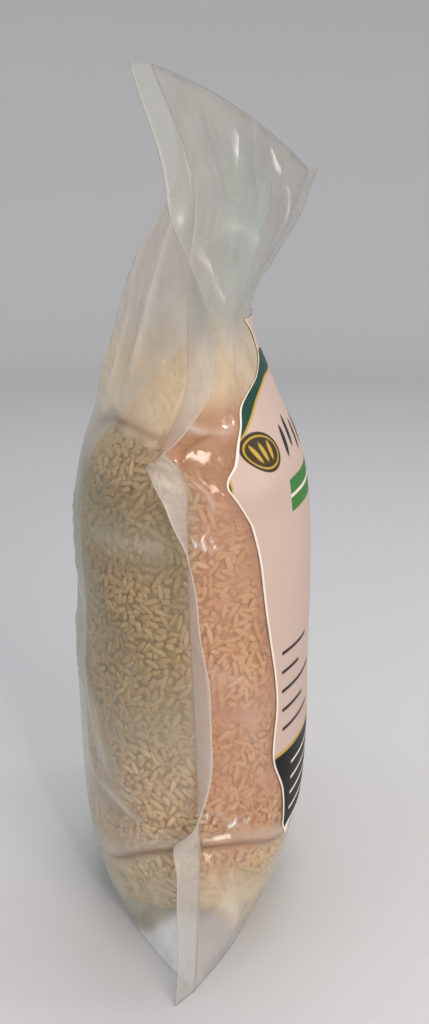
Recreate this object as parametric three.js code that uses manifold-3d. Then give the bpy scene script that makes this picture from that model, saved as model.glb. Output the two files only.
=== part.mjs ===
// A clear plastic pouch of raw rice, standing on its flattened bottom.
//
// The pouch is two sheets of film sealed together along both sides, the bottom and the top.
// The rice fills its lower two thirds into an oval column. Below the rice the corners of the
// bottom seal stick out as two pointed ears. Above it the empty film closes to a flat flap that
// turns sideways and droops at its far corner. A label is stuck on the front sheet.
//
// Millimetres, +Z up. The front sheet faces +X, the back sheet -X, and the two side seals run
// up the bag at -Y, the near side, and at +Y, the far side. The origin is on the floor, in the
// middle of the bag's box.

import * as THREE from "three";
import { mergeVertices } from "three/addons/utils/BufferGeometryUtils.js";
import Module from "manifold-3d";

// The whole bag
const HEIGHT = 291; // of the near corner of the top edge
const SEAL_WIDTH = 9.5; // of each side seal, outside the seam
const FILM_SOLID = 1.2; // thickness that stands for the two sheets where they lie together
const CROWN = 4; // rise of the middle of the top edge
const ORIGIN = [1.54, -0.07]; // X and Y of the middle of the box, in the frame of the lists below

// How far the sheets stand out from the line between the seams: [height, back, front]
const SHEETS = [
  [0, 29.5, 25.5],
  [12, 36.5, 32.5],
  [41, 42.5, 38],
  [98, 43.5, 40],
  [144, 42, 40.5],
  [170, 39, 36],
  [190, 35.5, 24.6],
  [211, 32.5, 12],
  [237, 29, 6],
  [262, 17.5, 3],
  [HEIGHT, 0.6, 0.6],
];

// The seams: [height along the film, X, Y, drop below that height]
const NEAR_SEAM = [
  [0, -0.5, -76, 0],
  [24, 0.8, -67, 0],
  [47, 1.2, -60.5, 0],
  [150, -2, -60, 0],
  [177, -1.9, -61.5, 0],
  [205, -1.3, -68, 0],
  [235, -1, -72, 0],
  [262, 0, -71, 0],
  [HEIGHT, -11, -65, 0],
];
const FAR_SEAM = [
  [0, -3, 75, 0],
  [24, -2, 67, 0],
  [47, 0, 60.5, 0],
  [150, 0, 60, 0],
  [170, 1, 62, 2],
  [190, 7, 68, 6],
  [211, 14, 72, 11],
  [237, 24, 73, 20],
  [262, 34, 71, 27],
  [HEIGHT, 42, 69, 35],
];

// How far the near seam is pulled towards -X where the film is pleated: [height, pull]
const NEAR_PULL = [
  [0, 0],
  [160, 0],
  [168, 0],
  [176, 2.6],
  [182.5, 7],
  [190, 4.4],
  [203, 0.4],
  [212, 0],
  [225, 0],
  [HEIGHT, 0],
];
const PULL_TO = -0.3; // across

// The way each side seal points: [height, degrees from straight out, towards +X]
const NEAR_TURN = [
  [0, -40],
  [38, -50],
  [47, -62],
  [58, 0],
  [95, 36],
  [151, 0],
  [158, -18],
  [166, -46],
  [175.5, -80],
  [183, 0],
  [195, 35],
  [206, 50],
  [217, 52],
  [240, 0],
  [259, -50],
  [HEIGHT, -34],
];
const FAR_TURN = [
  [0, -30],
  [45, 20],
  [100, -35],
  [160, 30],
  [205, -20],
  [240, 20],
  [HEIGHT, 24],
];

// A section is an ellipse in the body, and a lens pointed at both seams at the floor and the top
const POINTED_BASE = 2.1;
const POINTED_HEAD = 1.5;
const BASE_ZONE = 46;
const HEAD_ZONE = [165, 225];

// Hollows pressed in a sheet: sheet 1 is the front and -1 the back. Across is -1 at the near
// seam and 1 at the far one. Wide and tall are the distances at which a hollow fades out.
const HOLLOWS = [
  { sheet: 1, across: -0.78, height: 178, wide: 0.16, tall: 7, deep: 7 },
  { sheet: 1, across: -0.6, height: 196, wide: 0.25, tall: 9, deep: 4 },
  { sheet: 1, across: -0.75, height: 165, wide: 0.3, tall: 7, deep: -2.5 },
  { sheet: -1, across: -0.7, height: 182, wide: 0.35, tall: 9, deep: 3.5 },
  { sheet: -1, across: 0.6, height: 180, wide: 0.4, tall: 12, deep: 6 },
  { sheet: 1, across: 0.6, height: 186, wide: 0.35, tall: 10, deep: 5 },
  { sheet: -1, across: -0.1, height: 112, wide: 0.7, tall: 18, deep: 1.6 },
];
// The fold that runs round each end of the bag, over its bottom bulge
const FOLD = { height: 48, drop: 52, reach: 5, deep: 3.4, from: 0.3 };

// The label's near edge: [height, across]. The far edge is straight.
const LABEL_NEAR_EDGE = [
  [38, -0.45],
  [55, -0.48],
  [70, -0.56],
  [92, -0.53],
  [124, -0.605],
  [154, -0.67],
  [168, -0.8],
  [175, -0.65],
  [187, -0.53],
  [193, -0.44],
  [202, -0.1],
  [209, -0.04],
  [217, -0.12],
];
const LABEL_FAR_EDGE = 0.58;
const LABEL_THICKNESS = 0.8;
const LABEL_GAP = 0.35;

// Fineness
const LEVELS = 58;
const COLUMNS = 26;
const SEAL_LEVELS = 96;
const LABEL_ROWS = 36;
const LABEL_COLUMNS = 14;

const clamp01 = (t) => Math.min(Math.max(t, 0), 1);
const ease = (t) => clamp01(t) ** 2 * (3 - 2 * clamp01(t));
const hump = (x, centre, reach) => Math.exp(-(((x - centre) / reach) ** 2));
const mix = (a, b, t) => a + (b - a) * t;
const evenSteps = (count, from, to) => Array.from({ length: count + 1 }, (_, i) => mix(from, to, i / count));

// A smooth curve through the stations of a list: a cubic between each two, whose slope at a
// station is the slope from the station before it to the one after it.
function through(stations, level, column) {
  const last = stations.length - 1;
  const next = Math.max(stations.findIndex((station) => station[0] >= level), 1);
  const slope = (i) => {
    const before = stations[Math.max(i - 1, 0)];
    const after = stations[Math.min(i + 1, last)];
    return (after[column] - before[column]) / (after[0] - before[0]);
  };
  const [low, high] = [stations[next - 1], stations[next]];
  const span = high[0] - low[0];
  const t = clamp01((level - low[0]) / span);
  const start = low[column] * (2 * t ** 3 - 3 * t ** 2 + 1) + high[column] * (3 * t ** 2 - 2 * t ** 3);
  return start + span * (slope(next - 1) * (t ** 3 - 2 * t ** 2 + t) + slope(next) * (t ** 3 - t ** 2));
}

// A point of a seam at a height along the film.
function seamPoint(seam, level) {
  const [x, y, drop] = [1, 2, 3].map((column) => through(seam, level, column));
  return new THREE.Vector3(x - ORIGIN[0], y - ORIGIN[1], level - drop);
}

// How far the film is pulled back at a height: all of it at the near seam, none of it past PULL_TO.
function seamPull(across, level) {
  return through(NEAR_PULL, level, 1) * ease((PULL_TO - across) / (PULL_TO + 1));
}

// How far a sheet is pressed in at a place on it.
function hollowDepth(sheet, across, level) {
  let depth = 0;
  for (const h of HOLLOWS) {
    if (h.sheet === sheet) depth += h.deep * hump(across, h.across, h.wide) * hump(level, h.height, h.tall);
  }
  const foldLevel = FOLD.height - FOLD.drop * (1 - Math.abs(across));
  const nearEnds = ease((Math.abs(across) - FOLD.from) / 0.25);
  return depth + FOLD.deep * nearEnds * hump(level, foldLevel, FOLD.reach);
}

// A point of a sheet. Across runs from the near seam at -1 to the far one at 1, and lift moves
// the point out along the sheet's own outward direction.
function sheetPoint(sheet, across, level, lift = 0) {
  const near = seamPoint(NEAR_SEAM, level);
  const far = seamPoint(FAR_SEAM, level);
  const chord = far.clone().sub(near);
  const half = Math.hypot(chord.x, chord.y) / 2;
  const out = new THREE.Vector3(chord.y, -chord.x, 0).normalize().multiplyScalar(sheet);
  const bulge = Math.max(through(SHEETS, level, sheet < 0 ? 1 : 2), FILM_SOLID / 2);
  const flat = ease((level - HEAD_ZONE[0]) / (HEIGHT - HEAD_ZONE[0]));
  const angle = (across * Math.PI) / 2;
  const along = mix(Math.sin(angle), across, flat);
  const pointed =
    1 +
    (POINTED_BASE - 1) * (1 - ease(level / BASE_ZONE)) +
    (POINTED_HEAD - 1) * ease((level - HEAD_ZONE[0]) / (HEAD_ZONE[1] - HEAD_ZONE[0]));
  const round = Math.max(1 - along ** 2, 0) ** (pointed / 2);
  const grip = ease((1 - Math.abs(across)) / 0.08); // the seams hold the sheets
  const depth = Math.max(bulge * round - hollowDepth(sheet, across, level) * grip, 0);
  const normal = out.clone().multiplyScalar(Math.cos(angle) / Math.max(bulge, 4));
  normal.addScaledVector(chord.clone().setZ(0).normalize(), Math.sin(angle) / half).normalize();
  const point = near.addScaledVector(chord, (along + 1) / 2).addScaledVector(out, depth);
  point.x -= seamPull(across, level);
  point.z += CROWN * flat * (1 - along ** 2);
  return point.addScaledVector(normal, lift);
}

// A closed geometry from rings of points, one ring a level, each ring closed on itself. An end
// is closed by joining the ring's first half to its second half. The quads of the second half
// are cut along the other diagonal, so that two faces that lie close together run side by side.
function loft(rings) {
  const around = rings[0].length;
  const positions = [];
  const face = (...points) => points.forEach((point) => positions.push(point.x, point.y, point.z));
  for (let k = 0; k + 1 < rings.length; k++) {
    for (let i = 0; i < around; i++) {
      const j = (i + 1) % around;
      if (i < around / 2) {
        face(rings[k][i], rings[k][j], rings[k + 1][j]);
        face(rings[k][i], rings[k + 1][j], rings[k + 1][i]);
      } else {
        face(rings[k][i], rings[k][j], rings[k + 1][i]);
        face(rings[k][j], rings[k + 1][j], rings[k + 1][i]);
      }
    }
  }
  const close = (ring, isTop) => {
    for (let i = 0; i < around / 2; i++) {
      const [a, b] = [ring[i], ring[i + 1]];
      const [c, d] = [ring[(around - i - 1) % around], ring[(around - i) % around]];
      if (isTop) face(a, b, c, a, c, d);
      else face(a, c, b, a, d, c);
    }
  };
  close(rings[0], false);
  close(rings[rings.length - 1], true);
  const geometry = new THREE.BufferGeometry();
  geometry.setAttribute("position", new THREE.Float32BufferAttribute(positions, 3));
  return geometry;
}

const wasm = await Module();
wasm.setup();

// A geometry as a solid that can be joined and cut.
function solidOf(geometry) {
  const merged = mergeVertices(geometry, 1e-4);
  const index = merged.index.array;
  const kept = [];
  for (let i = 0; i < index.length; i += 3) {
    const [a, b, c] = [index[i], index[i + 1], index[i + 2]];
    if (a !== b && b !== c && a !== c) kept.push(a, b, c);
  }
  const vertProperties = merged.attributes.position.array;
  const mesh = new wasm.Mesh({ numProp: 3, vertProperties, triVerts: new Uint32Array(kept) });
  return new wasm.Manifold(mesh);
}

// A solid as a three.js geometry.
function geometryOf(solid) {
  const { vertProperties, triVerts } = solid.getMesh();
  const geometry = new THREE.BufferGeometry();
  geometry.setAttribute("position", new THREE.BufferAttribute(vertProperties, 3));
  geometry.setIndex(new THREE.BufferAttribute(triVerts, 1));
  geometry.computeVertexNormals();
  return geometry;
}

// The filled bag without its side seals: both sheets, the flat base and the top edge. Lift
// swells it by that much.
function filledBag(lift = 0) {
  const across = evenSteps(COLUMNS, -1, 1);
  const rings = evenSteps(LEVELS, 0, HEIGHT).map((level) => [
    ...across.map((u) => sheetPoint(1, u, level, lift)),
    ...across.slice(1, -1).reverse().map((u) => sheetPoint(-1, u, level, lift)),
  ]);
  return solidOf(loft(rings));
}

// A side seal: a ribbon that stands out from the seam by the seal's width. Side is -1 at the
// near seam and 1 at the far one.
function sideSeal(side, seam, turns) {
  const rings = evenSteps(SEAL_LEVELS, 0, HEIGHT).map((level) => {
    const point = seamPoint(seam, level);
    point.x -= seamPull(side, level);
    const turn = THREE.MathUtils.degToRad(through(turns, level, 1));
    const out = new THREE.Vector3(Math.sin(turn), side * Math.cos(turn), 0);
    const across = new THREE.Vector3(Math.cos(turn), -side * Math.sin(turn), 0);
    const corner = (reach, offset) => point.clone().addScaledVector(out, reach).addScaledVector(across, offset);
    const [root, half] = [-FILM_SOLID * 2, FILM_SOLID / 2];
    const ring = [corner(root, half), corner(root, -half), corner(SEAL_WIDTH, -half), corner(SEAL_WIDTH, half)];
    return side < 0 ? ring : ring.reverse();
  });
  return solidOf(loft(rings));
}

// The label: a thin plate that follows the front sheet, cut clear of the bag behind it.
function labelPlate() {
  const [bottom, top] = [LABEL_NEAR_EDGE[0][0], LABEL_NEAR_EDGE[LABEL_NEAR_EDGE.length - 1][0]];
  const rings = evenSteps(LABEL_ROWS, bottom, top).map((level) => {
    const across = evenSteps(LABEL_COLUMNS, through(LABEL_NEAR_EDGE, level, 1), LABEL_FAR_EDGE);
    const outer = across.map((u) => sheetPoint(1, u, level, LABEL_GAP + LABEL_THICKNESS));
    const inner = across.map((u) => sheetPoint(1, u, level, -LABEL_THICKNESS));
    return [...outer, ...inner.reverse()];
  });
  return solidOf(loft(rings)).subtract(filledBag(LABEL_GAP));
}

const film = new THREE.MeshStandardMaterial({ color: "#cbbfa2", roughness: 0.25, metalness: 0 });
const paper = new THREE.MeshStandardMaterial({ color: "#ecdcd8", roughness: 0.5, metalness: 0 });

const bag = filledBag().add(sideSeal(-1, NEAR_SEAM, NEAR_TURN)).add(sideSeal(1, FAR_SEAM, FAR_TURN));

const riceBag = new THREE.Group();
const bagMesh = new THREE.Mesh(geometryOf(bag), film);
bagMesh.name = "bag";
riceBag.add(bagMesh);

const labelMesh = new THREE.Mesh(geometryOf(labelPlate()), paper);
labelMesh.name = "label";
riceBag.add(labelMesh);

export default riceBag;
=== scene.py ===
# %% [markdown]
# # A clear pouch of rice
#
# The real thing is a kilogram of raw long grain rice in a pouch of clear, slightly milky film.
# Two sheets of film are sealed together along both sides, the bottom and the top. The bag
# stands on its flattened bottom, its two bottom corners stick out as ears, and the empty top
# closes to a flat flap that turns sideways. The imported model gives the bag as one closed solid
# and the label as a plate. Here the solid is replaced by what it stands for: a skin of film,
# two sealed strips, a core of rice and thousands of grains lying against the film.

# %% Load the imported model
import math

import bpy
import numpy as np
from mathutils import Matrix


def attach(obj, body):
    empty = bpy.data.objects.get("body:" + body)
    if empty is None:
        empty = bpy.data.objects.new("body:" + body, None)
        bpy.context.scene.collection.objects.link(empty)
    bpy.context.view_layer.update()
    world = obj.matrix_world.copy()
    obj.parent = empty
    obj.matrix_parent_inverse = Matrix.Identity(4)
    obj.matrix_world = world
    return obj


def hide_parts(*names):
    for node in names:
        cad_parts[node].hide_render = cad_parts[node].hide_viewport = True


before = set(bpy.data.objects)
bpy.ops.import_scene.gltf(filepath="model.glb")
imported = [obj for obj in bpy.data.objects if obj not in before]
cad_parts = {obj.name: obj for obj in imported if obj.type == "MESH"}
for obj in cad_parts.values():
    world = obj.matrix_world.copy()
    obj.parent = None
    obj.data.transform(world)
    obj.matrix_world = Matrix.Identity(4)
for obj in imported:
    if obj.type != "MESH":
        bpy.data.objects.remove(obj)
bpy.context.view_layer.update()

# %% [markdown]
# ## The camera
#
# The photograph looks along the bag's narrow side and down on it. Its long side is the upright
# one, so the sensor's width of 36 mm belongs to the picture's 1024 pixels. The focal length in
# pixels and the camera's place were worked out from the ears on the floor and the top edge.

# %% Camera
PICTURE_HEIGHT = 1024
FOCAL_PIXELS = 1270
SENSOR = 36.0
CAMERA_AT = (0.0047, -0.427, 0.283)
CAMERA_DOWN = 18.2

camera_data = bpy.data.cameras.new("camera")
camera_data.sensor_width = SENSOR
camera_data.lens = FOCAL_PIXELS / PICTURE_HEIGHT * SENSOR
camera_data.clip_start = 0.01
camera = bpy.data.objects.new("camera", camera_data)
camera.location = CAMERA_AT
camera.rotation_euler = (math.radians(90 - CAMERA_DOWN), 0, 0)
bpy.context.scene.collection.objects.link(camera)
bpy.context.scene.camera = camera
print("lens", round(camera_data.lens, 1), "mm, looking down", CAMERA_DOWN, "degrees")

# %% [markdown]
# ## The bag's form
#
# All the pieces share one description of the bag, the same as the solid's: how far the sheets
# stand out from the line between the seams, where the seams run, and the hollows and the fold
# that are pressed in the sheets. Each is a short list of stations up the bag with a smooth
# curve through them, worked out for whole arrays of heights at once. Lengths are in
# millimetres here, and a mesh is scaled to metres when it is made.

# %% Stations of the bag, in millimetres
MM = 0.001
HEIGHT = 291.0
SEAL_WIDTH = 9.5
FILM_SOLID = 1.2
CROWN = 4.0
ORIGIN = (1.54, -0.07)

# [height, back, front]: how far the sheets stand out from the line between the seams
SHEETS = [
    [0, 29.5, 25.5],
    [12, 36.5, 32.5],
    [41, 42.5, 38],
    [98, 43.5, 40],
    [144, 42, 40.5],
    [170, 39, 36],
    [190, 35.5, 24.6],
    [211, 32.5, 12],
    [237, 29, 6],
    [262, 17.5, 3],
    [HEIGHT, 0.6, 0.6],
]

# [height along the film, X, Y, drop below that height]
NEAR_SEAM = [
    [0, -0.5, -76, 0],
    [24, 0.8, -67, 0],
    [47, 1.2, -60.5, 0],
    [150, -2, -60, 0],
    [177, -1.9, -61.5, 0],
    [205, -1.3, -68, 0],
    [235, -1, -72, 0],
    [262, 0, -71, 0],
    [HEIGHT, -11, -65, 0],
]
FAR_SEAM = [
    [0, -3, 75, 0],
    [24, -2, 67, 0],
    [47, 0, 60.5, 0],
    [150, 0, 60, 0],
    [170, 1, 62, 2],
    [190, 7, 68, 6],
    [211, 14, 72, 11],
    [237, 24, 73, 20],
    [262, 34, 71, 27],
    [HEIGHT, 42, 69, 35],
]

# [height, pull]: how far the near seam is pulled towards -X where the film is pleated
NEAR_PULL = [
    [0, 0], [160, 0], [168, 0], [176, 2.6], [182.5, 7], [190, 4.4], [203, 0.4], [212, 0],
    [225, 0], [HEIGHT, 0],
]
PULL_TO = -0.3

# [height, degrees from straight out, towards +X]: the way each side seal points
NEAR_TURN = [
    [0, -40], [38, -50], [47, -62], [58, 0], [95, 36], [151, 0], [158, -18], [166, -46],
    [175.5, -80], [183, 0], [195, 35], [206, 50], [217, 52], [240, 0], [259, -50], [HEIGHT, -34],
]
FAR_TURN = [
    [0, -30], [45, 20], [100, -35], [160, 30], [205, -20], [240, 20], [HEIGHT, 24],
]

POINTED_BASE = 2.1
POINTED_HEAD = 1.5
BASE_ZONE = 46.0
HEAD_FROM, HEAD_TO = 165.0, 225.0

# (sheet, across, height, wide, tall, deep): sheet 1 is the front and -1 the back
HOLLOWS = [
    (1, -0.78, 178, 0.16, 7, 7),
    (1, -0.6, 196, 0.25, 9, 4),
    (1, -0.75, 165, 0.3, 7, -2.5),
    (-1, -0.7, 182, 0.35, 9, 3.5),
    (-1, 0.6, 180, 0.4, 12, 6),
    (1, 0.6, 186, 0.35, 10, 5),
    (-1, -0.1, 112, 0.7, 18, 1.6),
]
# The groove over the bottom bulge: its height at the seams, how far it drops to the middle, its
# reach up and down, its depth, and from where to where across the sheet it comes in
FOLD_HEIGHT, FOLD_DROP, FOLD_REACH, FOLD_DEEP = 48.0, 52.0, 5.0, 3.4
FOLD_FROM, FOLD_FADE = 0.3, 0.25
HOLLOW_MARGIN = 0.08
FLAT_DEPTH = 4.0
print("stations:", len(SHEETS), "of the sheets and", len(NEAR_SEAM), "of the near seam")


# %% Helpers for smooth curves
def ease(t):
    """0 below 0, 1 above 1, and a smooth step between."""
    t = np.clip(t, 0.0, 1.0)
    return t * t * (3 - 2 * t)


def rising(x, start, length):
    """0 up to start, 1 from a length past it, and a smooth step between."""
    return ease((x - start) / length)


def falling(x, start, length):
    """1 up to start, 0 from a length past it, and a smooth step between."""
    return 1 - rising(x, start, length)


def hump(x, centre, reach):
    """A bell that is 1 at its centre and fades out at reach."""
    return np.exp(-(((x - centre) / reach) ** 2))


def mix(a, b, t):
    """The value a share t of the way from a to b."""
    return a + (b - a) * t


def through(stations, level, column):
    """A smooth curve through stations: a cubic between each two, whose slope at a station is
    the slope from the station before it to the one after it."""
    table = np.array(stations, float)
    heights, values = table[:, 0], table[:, column]
    after = np.minimum(np.arange(len(heights)) + 1, len(heights) - 1)
    before = np.maximum(np.arange(len(heights)) - 1, 0)
    slopes = (values[after] - values[before]) / (heights[after] - heights[before])
    high = np.clip(np.searchsorted(heights, level), 1, len(heights) - 1)
    low = high - 1
    span = heights[high] - heights[low]
    t = np.clip((level - heights[low]) / span, 0, 1)
    start = values[low] * (2 * t**3 - 3 * t**2 + 1) + values[high] * (3 * t**2 - 2 * t**3)
    return start + span * (slopes[low] * (t**3 - 2 * t**2 + t) + slopes[high] * (t**3 - t**2))


def unit(v):
    """Vectors scaled to length 1."""
    return v / np.maximum(np.linalg.norm(v, axis=-1, keepdims=True), 1e-9)


# %% The sheets as functions of across and level
def seam_point(seam, level):
    """The points of a seam at heights along the film."""
    x, y, drop = (through(seam, level, column) for column in (1, 2, 3))
    return np.stack([x - ORIGIN[0], y - ORIGIN[1], level - drop], -1)


def seam_pull(across, level):
    """How far the film is pulled back: all of it at the near seam and none past PULL_TO."""
    return through(NEAR_PULL, level, 1) * ease((PULL_TO - across) / (PULL_TO + 1))


def hollow_depth(sheet, across, level):
    """How far a sheet is pressed in: a bell for each hollow, and a groove that runs round each
    end of the bag over its bottom bulge."""
    depth = np.zeros(np.broadcast(across, level).shape)
    for side, at, height, wide, tall, deep in HOLLOWS:
        if side == sheet:
            depth = depth + deep * hump(across, at, wide) * hump(level, height, tall)
    fold_level = FOLD_HEIGHT - FOLD_DROP * (1 - np.abs(across))
    near_ends = rising(np.abs(across), FOLD_FROM, FOLD_FADE)
    return depth + FOLD_DEEP * near_ends * hump(level, fold_level, FOLD_REACH)


def section_line(level):
    """The line between the seams at each height: its start, the way along it, half its length
    and the way out to the front."""
    near, far = seam_point(NEAR_SEAM, level), seam_point(FAR_SEAM, level)
    chord = far - near
    half = np.linalg.norm(chord[..., :2], axis=-1) / 2
    out = unit(np.stack([chord[..., 1], -chord[..., 0], 0 * half], -1))
    return near, chord, half, out


def base_power(level):
    """The power in a section's form: POINTED_BASE on the floor, and 1 above BASE_ZONE."""
    return 1 + (POINTED_BASE - 1) * (1 - ease(level / BASE_ZONE))


def sheet_point(sheet, across, level, lift=0.0):
    """The points of a sheet and its outward directions. A section is the line between the
    seams, plus a bulge of the form (1 - s^2)^(p/2), where s runs from -1 to 1 along the line
    and p is 1 for an ellipse and more for a pointed lens. Lift moves the points outwards."""
    across, level = np.broadcast_arrays(np.asarray(across, float), np.asarray(level, float))
    near, chord, half, out = section_line(level)
    out = sheet * out
    bulge = np.maximum(through(SHEETS, level, 1 if sheet < 0 else 2), FILM_SOLID / 2)
    flat = rising(level, HEAD_FROM, HEIGHT - HEAD_FROM)
    angle = across * math.pi / 2
    along = mix(np.sin(angle), across, flat)
    power = base_power(level) + (POINTED_HEAD - 1) * rising(level, HEAD_FROM, HEAD_TO - HEAD_FROM)
    round_part = np.maximum(1 - along**2, 0) ** (power / 2)
    grip = ease((1 - np.abs(across)) / HOLLOW_MARGIN)
    depth = np.maximum(bulge * round_part - hollow_depth(sheet, across, level) * grip, 0)
    normal = out * (np.cos(angle) / np.maximum(bulge, FLAT_DEPTH))[..., None]
    normal = unit(normal + unit(chord * (1, 1, 0)) * (np.sin(angle) / half)[..., None])
    point = near + chord * ((along + 1) / 2)[..., None] + out * depth[..., None]
    point[..., 0] -= seam_pull(across, level)
    point[..., 2] += CROWN * flat * (1 - along**2)
    return point + normal * np.broadcast_to(lift, across.shape)[..., None], normal


test_points, _ = sheet_point(1, np.linspace(-1, 1, 5), 98.0)
print("front sheet at 98 mm:", np.round(test_points[:, :2], 1).tolist())


# %% [markdown]
# ## Mesh and material helpers
#
# A grid of points becomes a mesh in one step: the corner numbers of all its quads are worked
# out as one array. Attributes carry what a material needs to know of each point, such as its
# height along the film, how milky the film is there, or a grain's own tint.

# %% Grids to meshes
def make_mesh(name, points, faces, attributes):
    """A smooth piece from points in millimetres and faces, with float or colour attributes."""
    mesh = bpy.data.meshes.new(name)
    face_lists = faces.tolist() if isinstance(faces, np.ndarray) else faces
    mesh.from_pydata((points * MM).tolist(), [], face_lists)
    for key, values in attributes.items():
        is_colour = np.shape(values)[-1] == 4
        layer = mesh.attributes.new(key, "FLOAT_COLOR" if is_colour else "FLOAT", "POINT")
        values = np.ascontiguousarray(values, dtype=np.float32).ravel()
        layer.data.foreach_set("color" if is_colour else "value", values)
    mesh.polygons.foreach_set("use_smooth", np.full(len(mesh.polygons), True))
    mesh.update()
    piece = bpy.data.objects.new(name, mesh)
    bpy.context.scene.collection.objects.link(piece)
    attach(piece, "root")
    return piece


def grid_faces(rows, columns):
    """The quads of a grid of points in rows, where each row's end is joined to its start."""
    row = np.arange(rows - 1)[:, None]
    column = np.arange(columns)[None, :]
    beside = (column + 1) % columns
    low, high = row * columns, (row + 1) * columns
    return np.stack([low + column, low + beside, high + beside, high + column], -1).reshape(-1, 4)


# %% Shader helpers
def new_material(name):
    """A material with its Principled shader, and its nodes and links."""
    material = bpy.data.materials.new(name)
    material.use_nodes = True
    tree = material.node_tree
    return material, tree, tree.nodes["Principled BSDF"]


def connect(tree, node, links):
    """Gives a node's inputs, by name or number, a socket or a value each."""
    for key, value in links.items():
        if isinstance(value, bpy.types.NodeSocket):
            tree.links.new(value, node.inputs[key])
        else:
            node.inputs[key].default_value = value


def add_node(tree, kind, links=None, **settings):
    """A node with its settings and its inputs."""
    node = tree.nodes.new(kind)
    for key, value in settings.items():
        setattr(node, key, value)
    connect(tree, node, links or {})
    return node


def calc(tree, operation, *values, clamp=False):
    """One step of arithmetic on sockets and numbers."""
    links = dict(enumerate(values))
    return add_node(tree, "ShaderNodeMath", links, operation=operation, use_clamp=clamp).outputs[0]


def blend(tree, share, low, high):
    """A colour a share of the way from low to high."""
    links = {0: share, 6: low, 7: high}
    return add_node(tree, "ShaderNodeMix", links, data_type="RGBA").outputs[2]


def ramp(tree, value, low, high):
    """0 below low, 1 above high, smooth between."""
    links = {0: value, 1: low, 2: high, 3: 0.0, 4: 1.0}
    return add_node(tree, "ShaderNodeMapRange", links, interpolation_type="SMOOTHSTEP").outputs[0]


def attribute(tree, name):
    """A float attribute of the mesh."""
    return add_node(tree, "ShaderNodeAttribute", attribute_name=name).outputs["Fac"]


def noise_node(tree, scale, detail, distortion=0.0):
    """Soft noise over the object's own coordinates."""
    place = add_node(tree, "ShaderNodeTexCoord").outputs["Object"]
    links = {"Vector": place, "Scale": scale, "Detail": detail, "Distortion": distortion}
    return add_node(tree, "ShaderNodeTexNoise", links).outputs[0]


def add_bump(tree, shader, height, strength, distance):
    """Fine relief on a material, at most a distance in metres high."""
    links = {"Height": height, "Strength": strength, "Distance": distance}
    bump = add_node(tree, "ShaderNodeBump", links)
    tree.links.new(bump.outputs[0], shader.inputs["Normal"])


def new_group(name, inputs, output):
    """A shader node group with float inputs (name: default) and one float output, and the
    sockets of its inputs and its output."""
    group = bpy.data.node_groups.new(name, "ShaderNodeTree")
    for key, value in inputs.items():
        socket = group.interface.new_socket(key, in_out="INPUT", socket_type="NodeSocketFloat")
        socket.default_value = value
    group.interface.new_socket(output, in_out="OUTPUT", socket_type="NodeSocketFloat")
    entry, result = add_node(group, "NodeGroupInput"), add_node(group, "NodeGroupOutput")
    return group, entry.outputs, result.inputs[output]


def use_group(tree, group, **values):
    """The output of a group placed in a material with its own values or sockets."""
    node = add_node(tree, "ShaderNodeGroup", node_tree=group)
    connect(tree, node, values)
    return node.outputs[0]


print("helpers ready")


# %% [markdown]
# ## Two shared effects
#
# The film is milky, a little more in some soft clouds than beside them, and it is crumpled: fine
# sharp wrinkles catch the light. Both effects are node groups, so that the skin, the sealed
# strips and the label use them with values of their own.

# %% The haze group
# The haze is Milk, and half of Cloud more or less than that
haze_group, haze_in, haze_out = new_group("film_haze", {"Milk": 0.4, "Cloud": 0.1, "Size": 60.0}, "Haze")
haze_noise = noise_node(haze_group, haze_in["Size"], 3.0)
haze_share = calc(haze_group, "SUBTRACT", ramp(haze_group, haze_noise, 0.34, 0.66), 0.5)
haze_value = calc(haze_group, "MULTIPLY_ADD", haze_share, haze_in["Cloud"], haze_in["Milk"])
haze_group.links.new(haze_value, haze_out)
print("haze group nodes", len(haze_group.nodes))

# %% The wrinkle group
# Crumple is the share of the wrinkles, and Pebble that of a much finer noise
PEBBLE_SCALE = 420.0
wrinkle_group, wrinkle_in, wrinkle_out = new_group(
    "film_wrinkles", {"Size": 90.0, "Crumple": 1.0, "Pebble": 0.0}, "Height"
)
wrinkle_noise = noise_node(wrinkle_group, wrinkle_in["Size"], 2.0, distortion=0.6)
wrinkle_fold = calc(wrinkle_group, "SUBTRACT", wrinkle_noise, 0.5)
wrinkle_fold = calc(wrinkle_group, "ABSOLUTE", wrinkle_fold)
wrinkle_fold = calc(wrinkle_group, "MULTIPLY", wrinkle_fold, 4.0)
wrinkle_sharp = calc(wrinkle_group, "POWER", wrinkle_fold, 1.4)
wrinkle_both = calc(wrinkle_group, "MULTIPLY_ADD", wrinkle_sharp, 0.4, wrinkle_noise)
wrinkle_part = calc(wrinkle_group, "MULTIPLY", wrinkle_both, wrinkle_in["Crumple"])
pebble = noise_node(wrinkle_group, PEBBLE_SCALE, 0.0)
wrinkle_height = calc(wrinkle_group, "MULTIPLY_ADD", pebble, wrinkle_in["Pebble"], wrinkle_part)
wrinkle_group.links.new(wrinkle_height, wrinkle_out)
print("groups", [g.name for g in bpy.data.node_groups])

# %% [markdown]
# ## Where the rice lies
#
# The rice fills the pouch out to the film in the body, and falls away from it in three places:
# at the seams, in the ears below, and in the dome above. Its surface is a stack of ovals of its
# own, with half depths to the back and the front and half a width at each height.

# %% The rice's own stations
# [height, share of the sheets' depth, half width, squareness of the ends]
RICE = [
    [0, 0.97, 31, 8],
    [4, 0.98, 37, 8],
    [10, 0.99, 45.5, 10],
    [20, 1.0, 54.5, 14],
    [38, 1.0, 58.7, 24],
    [60, 1.0, 59.2, 30],
    [150, 1.0, 59.2, 30],
    [166, 0.97, 57.5, 10],
    [178, 0.79, 50, 4],
    [190, 0.61, 40, 2.5],
    [203, 0.42, 28, 2],
    [213, 0.22, 16, 2],
    [219, 0.0, 0.0, 2],
]
RICE_TOP = RICE[-1][0]
FILM_TO_RICE = 0.3
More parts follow.
